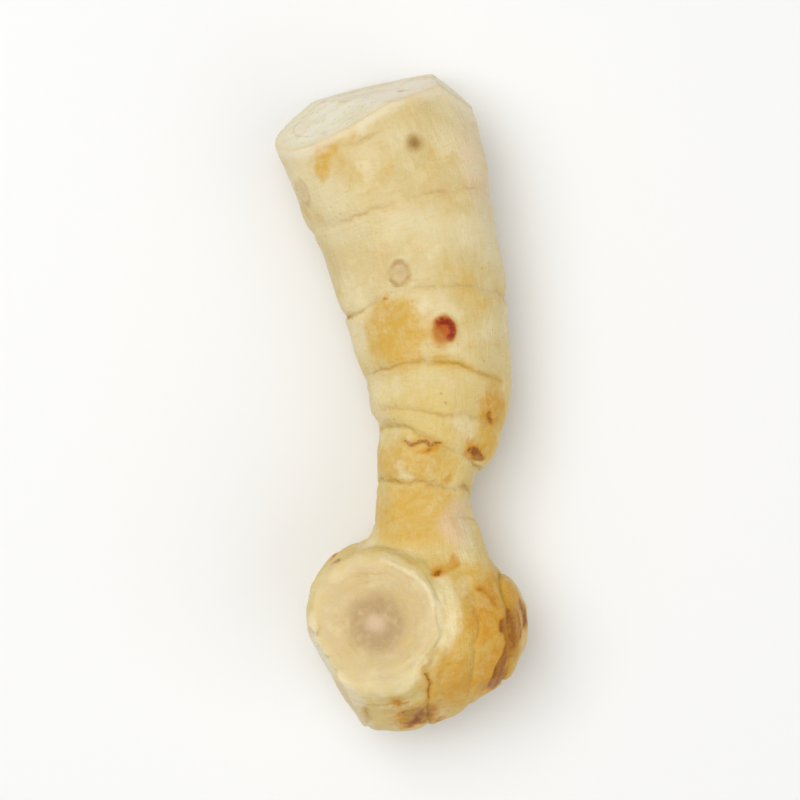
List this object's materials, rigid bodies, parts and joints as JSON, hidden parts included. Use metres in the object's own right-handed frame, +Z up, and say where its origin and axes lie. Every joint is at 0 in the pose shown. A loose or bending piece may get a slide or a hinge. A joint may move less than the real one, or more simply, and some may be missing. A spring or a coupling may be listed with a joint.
{
  "type": "galangal root",
  "caption": "Cut piece of galangal rhizome: ringed finger with a trimmed end, narrow neck and a thick joint with a round dished stem scar, lying on its side.",
  "frame": {"origin": "middle of the root's footprint box, on the surface that it lies on", "axes": "+Y along the root towards the finger's cut end, +X across it, +Z up, the way that the stem scar faces"},
  "size_m": [0.0388, 0.1016, 0.0279],
  "materials": {
    "galangal_skin": "fresh damp root skin, cream yellow with ochre patches, brown leaf scar lines and whitish knife cuts, satin"
  },
  "bodies": {
    "root": {"galangal_rhizome": "galangal_skin"}
  },
  "joints": []
}
